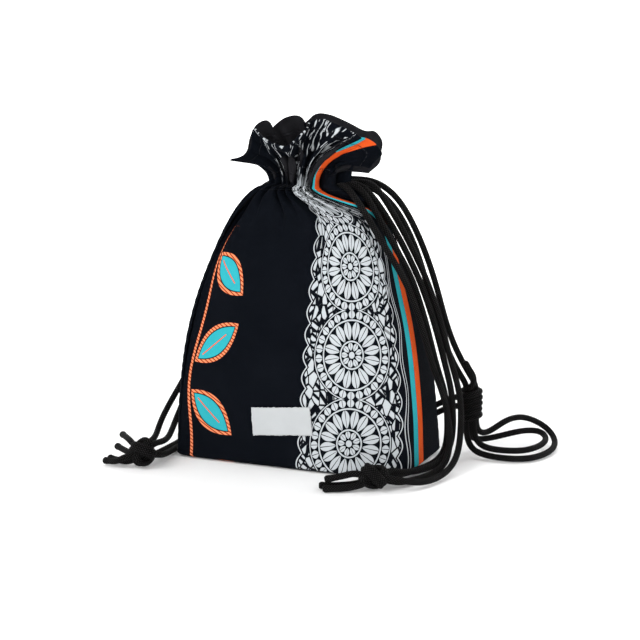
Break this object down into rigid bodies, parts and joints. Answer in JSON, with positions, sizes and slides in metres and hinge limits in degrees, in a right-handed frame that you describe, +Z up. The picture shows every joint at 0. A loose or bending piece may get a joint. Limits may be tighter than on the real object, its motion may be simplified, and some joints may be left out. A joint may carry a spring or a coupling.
{
  "type": "drawstring pouch",
  "caption": "Kinchaku pouch of printed cloth standing filled, drawn shut under a ruffle, with knotted cords and a wrapped hank of strap.",
  "frame": {"origin": "centre of the flat bottom, on the surface the pouch stands on", "axes": "+X along the long side towards the side where the cords hang, +Z up, front with the label towards -Y"},
  "size_m": [0.3266, 0.2143, 0.2745],
  "materials": {
    "printed_cloth": "near-black twill, printed on the front",
    "label_tape": "woven tape, bare",
    "cord_braid": "round braided cord, matt"
  },
  "bodies": {
    "root": {"front_panel": "printed_cloth", "back_panel": "printed_cloth", "base_panel": "printed_cloth", "label": "label_tape", "knot_right": "cord_braid", "knot_left": "cord_braid", "hank_wrap": "cord_braid", "hank_tail": "cord_braid", "cord_right_1": "cord_braid", "cord_right_2": "cord_braid", "cord_right_3": "cord_braid", "cord_right_4": "cord_braid", "strap_upper_a": "cord_braid", "strap_upper_b": "cord_braid", "strap_loop_a": "cord_braid", "strap_loop_b": "cord_braid", "strap_link_a": "cord_braid", "strap_link_b": "cord_braid", "cord_left_1": "cord_braid", "cord_left_2": "cord_braid", "tail_right_1": "cord_braid", "tail_right_2": "cord_braid", "tail_right_3": "cord_braid", "tail_left_1": "cord_braid", "tail_left_2": "cord_braid", "tail_left_3": "cord_braid", "tail_left_4": "cord_braid"}
  },
  "joints": []
}
